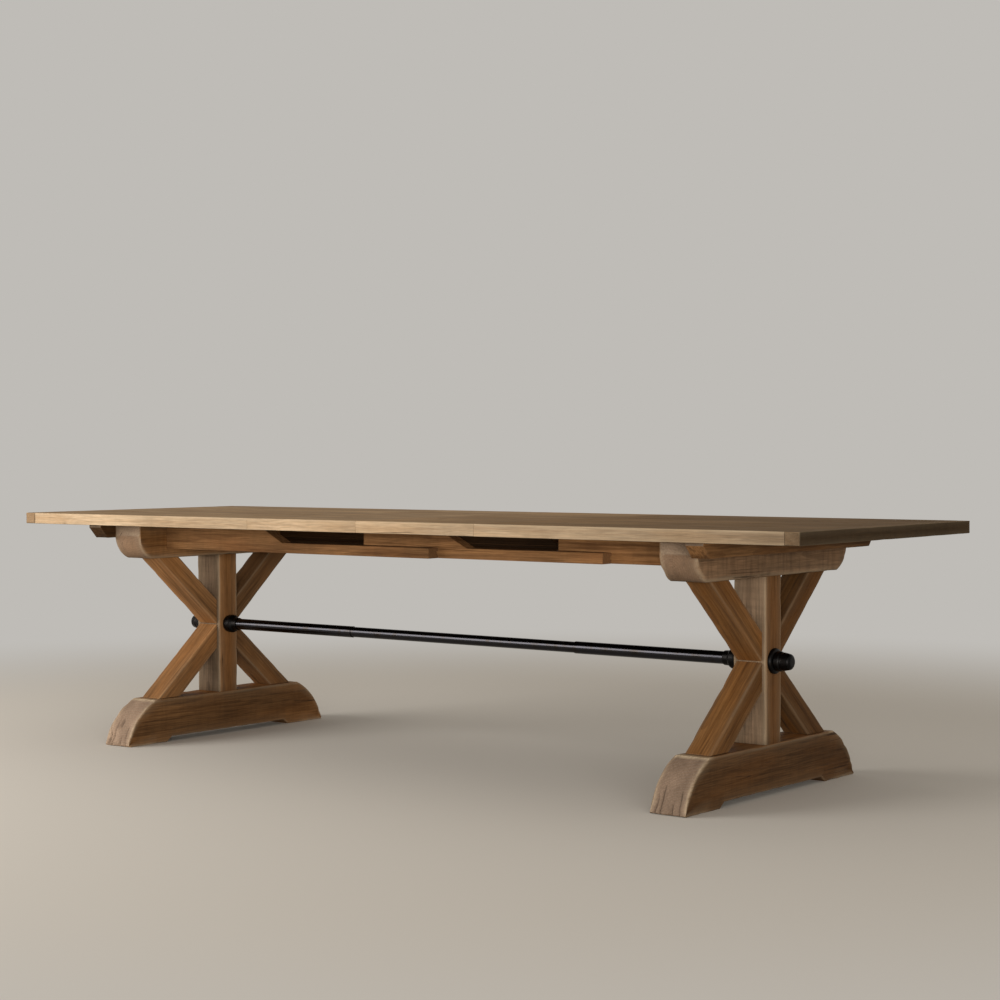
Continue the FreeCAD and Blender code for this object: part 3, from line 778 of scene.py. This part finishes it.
for side in ("left", "right"):
    inward = 1 if side == "left" else -1
    low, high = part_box(side + "_pipe_collar")
    post_x, tip_x = (low.x, high.x) if inward > 0 else (high.x, low.x)
    drum = high.y
    profile = [(post_x, fitting_bore), (tip_x, fitting_bore), (tip_x, neck_radius),
               (post_x + inward * (collar_thickness + 0.002), neck_radius + 0.001),
               (post_x + inward * collar_thickness, drum - collar_waist),
               (post_x + inward * collar_thickness * 0.78, drum),
               (post_x + inward * collar_thickness * 0.30, drum), (post_x, drum - collar_waist / 2)]
    collar = turned(side + "_pipe_collar_cast", rounded(profile, collar_arris))
    fit(collar, side + "_pipe_collar", cast_black)

    low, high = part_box(side + "_pipe_flange")
    post_x, face_x = (high.x, low.x) if inward > 0 else (low.x, high.x)
    profile = [(post_x, fitting_bore), (face_x, fitting_bore), (face_x, high.y - flange_dish),
               (face_x + inward * flange_lip, high.y - 0.002), (face_x + inward * flange_rim, high.y),
               (post_x, high.y)]
    flange = turned(side + "_pipe_flange_cast", rounded(profile, flange_arris))
    fit(flange, side + "_pipe_flange", cast_black)

    low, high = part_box(side + "_pipe_cap")
    base_x, end_x = (high.x, low.x) if inward > 0 else (low.x, high.x)
    step = -inward
    profile = [(base_x, fitting_bore), (base_x + step * socket_depth, fitting_bore),
               (base_x + step * socket_depth, 0.0), (end_x, 0.0), (end_x, cap_end_radius - 0.008),
               (end_x - step * 0.005, cap_end_radius - 0.001),
               (base_x + step * (cap_shoulder + 0.006), cap_base_radius - cap_waist),
               (base_x + step * cap_shoulder, cap_base_radius - cap_waist - 0.0012),
               (base_x + step * (cap_shoulder - 0.003), cap_base_radius - 0.001), (base_x, cap_base_radius)]
    cap = turned(side + "_pipe_cap_cast", rounded(profile, cap_arris))
    fit(cap, side + "_pipe_cap", cast_black)

# Extension slides
# Three pine slides lie side by side in each set: one screwed up under each half top and one that floats
# between them, keyed together so that they draw out. They are planed straight, with the arrises just eased.


def planed(node, light, hidden_light, seed):
    """Copy of a straight planed piece with its long arrises eased, and the grain along the table.

    Light is how light its faces are drawn, painted light for how the lamps fall on them. The faces turned to
    the middle of the table have hidden_light, painted shade under the top."""
    eased_arris = 0.0022
    shortest_eased = 0.020
    shell = bmesh.new()
    shell.from_mesh(frame["nodes"][node].data)
    bmesh.ops.remove_doubles(shell, verts=shell.verts[:], dist=1e-6)
    bmesh.ops.dissolve_limit(shell, angle_limit=math.radians(1), verts=shell.verts[:], edges=shell.edges[:])
    sharp = [e for e in shell.edges if len(e.link_faces) == 2 and e.calc_face_angle() > math.radians(25)
             and e.calc_length() > shortest_eased]
    bmesh.ops.bevel(shell, geom=sharp, offset=eased_arris, segments=2, affect="EDGES", profile=0.5,
                    clamp_overlap=True)
    mesh = bpy.data.meshes.new(node + "_planed")
    shell.to_mesh(mesh)
    shell.free()
    low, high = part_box(node)
    pick = random.Random(seed)
    pith = Vector((4.1 * seed, pick.uniform(-0.09, 0.09), pick.uniform(0.05, 0.12)))
    grain = [c for v in mesh.vertices for c in (v.co - (low + high) / 2 + pith)]
    mesh.attributes.new("grain", "FLOAT_VECTOR", "POINT").data.foreach_set("vector", grain)
    inner = Vector((0, -(low + high).y, 0)).normalized()
    lights_and_finishes = [c for face in mesh.polygons
                for c in (hidden_light if face.normal.dot(inner) > 0.7 else light, 0.15, 0.2)]
    mesh.attributes.new("light_and_finish", "FLOAT_VECTOR", "FACE").data.foreach_set("vector", lights_and_finishes)
    mesh.attributes.new("worn", "FLOAT", "POINT")
    ends = [1.0 if min(v.co.x - low.x, high.x - v.co.x) < 1e-4 else 0.0 for v in mesh.vertices]
    mesh.attributes.new("cut_end", "FLOAT", "POINT").data.foreach_set("value", ends)
    piece = bpy.data.objects.new(node + "_planed", mesh)
    bpy.context.scene.collection.objects.link(piece)
    return piece


# Pine planed by machine and thinly waxed: straight, even brown rails with little sheen and dark cut ends
slide_pine = old_pine("old_pine_slide_planed", pale="#9b6f43", mid="#80542d", dark="#5c3a1e", stain="#8c5a30",
                      aged="#8a745a", worn="#b08a5e", cut_end="#7a5636", contrast=1.0, roughness=0.72,
                      ring_mm=6.0, saw_mm=18.0)
# Painted light and shade: each slide is drawn lighter or darker for how the lamps reach in under the top, and
# its faces turned to the middle of the table much darker
slide_light = {"left_slide": 0.88, "middle_slide": 1.04, "right_slide": 1.42}
slide_hidden_light = 0.25
slide_seed = 61

for number, name in enumerate(slide_light):
    for face in ("front", "back"):
        node = name + "_" + face
        seed = slide_seed + 2 * number + (face == "back")
        fit(planed(node, slide_light[name], slide_hidden_light, seed), node, slide_pine)

# Slide screws
# Six plain steel screws in each half go up through counterbores in its two slides into the boards above, and
# are all that holds the slides to the top.

# Bright steel under a film of old oil: grey, with a soft metal shine and spots 2.5 mm wide
screw_steel = bpy.data.materials.new("plain_steel_screw")
screw_steel.use_nodes = True
spot_mm = 2.5
tree = screw_steel.node_tree
place = add_node(tree, "TexCoord", {}, {}).outputs["Object"]
mottle = add_node(tree, "TexNoise", {}, {"Vector": place, "Scale": 1000 / spot_mm}).outputs["Fac"]
tone = add_node(tree, "Mix", {"data_type": "RGBA"}, {0: mottle, 6: linear("#8b8a87"), 7: linear("#6d6a66")})
tree.links.new(tone.outputs[2], tree.nodes["Principled BSDF"].inputs["Base Color"])
tree.nodes["Principled BSDF"].inputs["Metallic"].default_value = 1.0
tree.nodes["Principled BSDF"].inputs["Roughness"].default_value = 0.38
for side in ("left", "right"):
    screws = frame["nodes"][side + "_slide_screws"]
    screws.data.materials.clear()
    screws.data.materials.append(screw_steel)

# Half tops
# Five pine planks on each half are glued edge to edge, with a breadboard across the outer end that takes
# their tongues. The face is drawn darker than the edges, and the right half darker than the left and darker
# towards its outer end: partly the face darkened under wax, partly painted shade for how the lamps fall
# across the table. The outer edges are rubbed pale.

# Old pine planks, planed and waxed: pale straw edges, a nearly matt face drawn browner, partly from wax and
# air and partly as painted shade, and quiet grain
top_pine = old_pine("old_pine_plank_waxed", pale="#dcc3a3", mid="#c6a682", dark="#a08164", stain="#bf9e79",
                    aged="#84633a", worn="#e3cfb0", cut_end="#9a846f", contrast=0.6, roughness=0.88,
                    ring_mm=8.0, saw_mm=14.0)
glued_arris = 0.0009
open_arris = 0.0040
# Painted shade: the planks' undersides are drawn at about a quarter of the lightness
plank_underside = (0.27, 0.25, 0.4)


def plank(node, low, high, steps, edge_light, face_light, face_aged, fade, seed):
    """One plank of the top, with its grain along the table."""
    sections = []
    for i in range(steps + 1):
        x = low.x + (high.x - low.x) * i / steps
        corners = [Vector((x, low.y, low.z)), Vector((x, high.y, low.z)),
                   Vector((x, high.y, high.z)), Vector((x, low.y, high.z))]
        sections.append((corners, 0.0, 0.0))
    front = open_arris if low.y < cad_low.y + 0.01 else glued_arris
    back = open_arris if high.y > cad_high.y - 0.01 else glued_arris
    light = random.Random(seed).uniform(0.88, 1.08)
    edge = (edge_light, 0.0, 0.1)
    timber = worn_timber(node + "_plank", sections, along=Vector((1, 0, 0)), across=Vector((0, 1, 0)),
                         arrises=(front * 0.7, back * 0.7, back, front), end_ease=0.0010, wander=0.0007,
                         light_and_finish=[plank_underside, edge, (face_light * light, face_aged, 0.1), edge], wear=0.4,
                         end_light=0.8, seed=seed, fade=fade)
    fit(timber, node, top_pine)


tongue_length = 0.014
half_steps = 26
# Painted light and shade: the right half's edges and face are drawn darker than the left's, and half_fade
# darkens the right half towards its outer end, for how the lamps fall across the table; the browner face is
# partly its aged colour too
half_edge_light = {"left": 0.89, "right": 0.64}
half_face_light = {"left": 0.80, "right": 0.45}
half_face_aged = {"left": 0.2, "right": 0.5}
half_fade = {"left": 0.0, "right": 0.24}
half_seed = {"left": 70, "right": 75}

for side in ("left", "right"):
    for number in range(1, 6):
        node = f"{side}_top_board_{number}"
        low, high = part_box(node)
        if side == "left":
            low.x += tongue_length
        else:
            high.x -= tongue_length
        plank(node, low, high, half_steps, half_edge_light[side], half_face_light[side], half_face_aged[side],
              half_fade[side], half_seed[side] + number)

# Breadboards
# One plank across each end of the top, grooved for the tongues and glued, so that the boards stay flat. Its
# outer side is drawn nearly black. The right one is drawn darker than the left, and the undersides darker
# still, as painted shade.

breadboard_steps = 26
# Painted light and shade: the right breadboard's face and ends are drawn darker than the left's for how the
# lamps fall across the table, and the undersides dark for the shade under the top
breadboard_face_light = {"left": 0.70, "right": 0.36}
breadboard_end_light = {"left": 0.9, "right": 0.40}
breadboard_side = (0.085, 0.7, 0.3)
breadboard_underside = (0.22, 0.3, 0.3)
breadboard_seed = 83

for number, side in enumerate(("left", "right")):
    node = side + "_breadboard"
    low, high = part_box(node)
    stations = [low.y + (high.y - low.y) * i / breadboard_steps for i in range(breadboard_steps + 1)]
    sections = [(upright_slice(low, high, y, low.z), 0.0, 0.0) for y in stations]
    face = (breadboard_face_light[side], 0.4, 0.1)
    board = worn_timber(node + "_plank", sections, along=Vector((0, 1, 0)), across=Vector((1, 0, 0)),
                        arrises=(0.0025,) * 4, end_ease=0.0025, wander=0.0007,
                        light_and_finish=[breadboard_underside, breadboard_side, face, breadboard_side], wear=0.15,
                        end_light=breadboard_end_light[side], seed=breadboard_seed + number)
    fit(board, node, top_pine)

# Leaf ledges
# A thin planed pine strip is fixed under the inner edge of each half top and stands out past it, to carry the
# edge of the leaf that lies next to it.

# Painted shade: the ledges are drawn at half the lightness, for the shade under the top
ledge_light = 0.5
ledge_seed = 95

for number, side in enumerate(("left", "right")):
    node = side + "_leaf_ledge"
    fit(planed(node, ledge_light, ledge_light, ledge_seed + number), node, slide_pine)

# Leaves
# Two loose leaves fill the middle of the drawn-out top. Each is five short pine planks glued edge to edge and
# held flat by a planed batten across below, and it lifts straight out.

leaf_steps = 12
# Painted light and shade: the right leaf is drawn darker than the left, and leaf_fade darkens it towards its
# right end, for how the lamps fall across the table
leaf_edge_light = {"left": 0.90, "right": 0.86}
leaf_face_light = {"left": 0.82, "right": 0.75}
leaf_face_aged = {"left": 0.2, "right": 0.35}
leaf_fade = {"left": 0.0, "right": 0.10}
leaf_seed = {"left": 130, "right": 135}
# Painted shade: the battens are drawn at half the lightness, for the shade under the leaves
batten_light = 0.5
batten_seed = {"left": 112, "right": 113}

for side in ("left", "right"):
    for number in range(1, 6):
        node = f"{side}_leaf_board_{number}"
        low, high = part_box(node)
        plank(node, low, high, leaf_steps, leaf_edge_light[side], leaf_face_light[side], leaf_face_aged[side],
              leaf_fade[side], leaf_seed[side] + number)
    node = side + "_leaf_batten"
    fit(planed(node, batten_light, batten_light, batten_seed[side]), node, slide_pine)

# Studio
# A plain pale floor that fades into a plain pale background. One soft lamp stands at the front left, and a
# broad one far off at the front right and low, so that light reaches in under the top.

backdrop = "#bfbcb7"
floor_colour = "#e6e2db"
floor_bounce = "#a5a19a"
fade_start = 2.0
fade_end = 4.8
bounce_start = 2.2
bounce_end = 8.0
floor_radius = 30.0

bpy.ops.mesh.primitive_circle_add(vertices=96, radius=floor_radius, fill_type="NGON", location=(0, 0, 0))
floor = bpy.context.object
floor.name = "studio_floor"
floor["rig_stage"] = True

# Matt floor paint: no shine, and shadows that stay soft. The floor that throws light back up at the table is
# darker and wider than the one that is seen
floor_paint = bpy.data.materials.new("matt_floor_paint")
floor_paint.use_nodes = True
tree = floor_paint.node_tree
tree.nodes.remove(tree.nodes["Principled BSDF"])
ray = add_node(tree, "LightPath", {}, {})
seen = add_node(tree, "Math", {"operation": "MAXIMUM"}, {0: ray.outputs["Is Camera Ray"],
                                                         1: ray.outputs["Is Glossy Ray"]})
seen = add_node(tree, "Math", {"operation": "MAXIMUM"}, {0: seen.outputs[0],
                                                         1: ray.outputs["Is Transmission Ray"]}).outputs[0]
tint = add_node(tree, "Mix", {"data_type": "RGBA"}, {0: seen, 6: linear(floor_bounce),
                                                     7: linear(floor_colour)}).outputs[2]
matt = add_node(tree, "BsdfDiffuse", {}, {"Color": tint})
glow = add_node(tree, "Emission", {}, {"Color": linear(backdrop), "Strength": seen})
spot = add_node(tree, "TexCoord", {}, {}).outputs["Object"]
reach = add_node(tree, "VectorMath", {"operation": "LENGTH"}, {0: spot})
start = add_node(tree, "MapRange", {}, {0: seen, 1: 0.0, 2: 1.0, 3: bounce_start, 4: fade_start})
end = add_node(tree, "MapRange", {}, {0: seen, 1: 0.0, 2: 1.0, 3: bounce_end, 4: fade_end})
fade = add_node(tree, "MapRange", {"interpolation_type": "SMOOTHSTEP"},
                {0: reach.outputs["Value"], 1: start.outputs[0], 2: end.outputs[0], 3: 0.0, 4: 1.0})
blend = add_node(tree, "MixShader", {}, {0: fade.outputs[0], 1: matt.outputs[0], 2: glow.outputs[0]})
tree.links.new(blend.outputs[0], tree.nodes["Material Output"].inputs["Surface"])
floor.data.materials.append(floor_paint)

fill_colour = "#fff6ea"
fill_level = 0.36
world = bpy.data.worlds.new("studio_air")
bpy.context.scene.world = world
world.use_nodes = True
tree = world.node_tree
ray = add_node(tree, "LightPath", {}, {})
shown = add_node(tree, "Math", {"operation": "MAXIMUM"}, {0: ray.outputs["Is Camera Ray"],
                                                          1: ray.outputs["Is Glossy Ray"]})
shown = add_node(tree, "Math", {"operation": "MAXIMUM"}, {0: shown.outputs[0],
                                                          1: ray.outputs["Is Transmission Ray"]})
fill = add_node(tree, "Background", {}, {"Color": linear(fill_colour), "Strength": fill_level})
wall = add_node(tree, "Background", {}, {"Color": linear(backdrop), "Strength": 1.0})
air = add_node(tree, "MixShader", {}, {0: shown.outputs[0], 1: fill.outputs[0], 2: wall.outputs[0]})
tree.links.new(air.outputs[0], tree.nodes["World Output"].inputs["Surface"])


def soft_lamp(name, place, aim, width, height, watts):
    """Rectangular soft lamp that faces a point."""
    lamp = bpy.data.lights.new(name, "AREA")
    lamp.shape = "RECTANGLE"
    lamp.size = width
    lamp.size_y = height
    lamp.energy = watts
    lamp.color = linear("#fffaf3")[:3]
    stand = bpy.data.objects.new(name, lamp)
    stand.location = place
    stand.rotation_mode = "QUATERNION"
    stand.rotation_quaternion = (Vector(aim) - Vector(place)).to_track_quat("-Z", "Y")
    bpy.context.scene.collection.objects.link(stand)


soft_lamp("left_soft_box", place=(-3.4, -4.0, 1.75), aim=(-0.4, -0.2, 0.8),
          width=3.4, height=2.4, watts=170.0)
soft_lamp("front_soft_box", place=(8.0, -8.6, 1.15), aim=(0.0, 0.0, 0.5),
          width=6.5, height=2.2, watts=760.0)

# Camera
# It stands just above the height of the top, off the table's front right corner, and looks almost level
# through a long lens.

camera_place = (4.07533, -5.0397, 0.9699)
yaw_degrees = 37.84
dip_degrees = 1.39
roll_degrees = -0.17

lens = bpy.data.cameras.new("photo_view")
lens.sensor_width = 36.0
lens.lens = 74.508
lens.clip_end = 200.0
view = bpy.data.objects.new("photo_view", lens)
yaw = Matrix.Rotation(math.radians(yaw_degrees), 4, "Z")
tilt = Matrix.Rotation(math.radians(90 - dip_degrees), 4, "X")
roll = Matrix.Rotation(math.radians(roll_degrees), 4, "Z")
view.matrix_world = Matrix.Translation(camera_place) @ yaw @ tilt @ roll
bpy.context.scene.collection.objects.link(view)
bpy.context.scene.camera = view
bpy.context.scene.view_settings.view_transform = "Standard"

low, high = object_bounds()
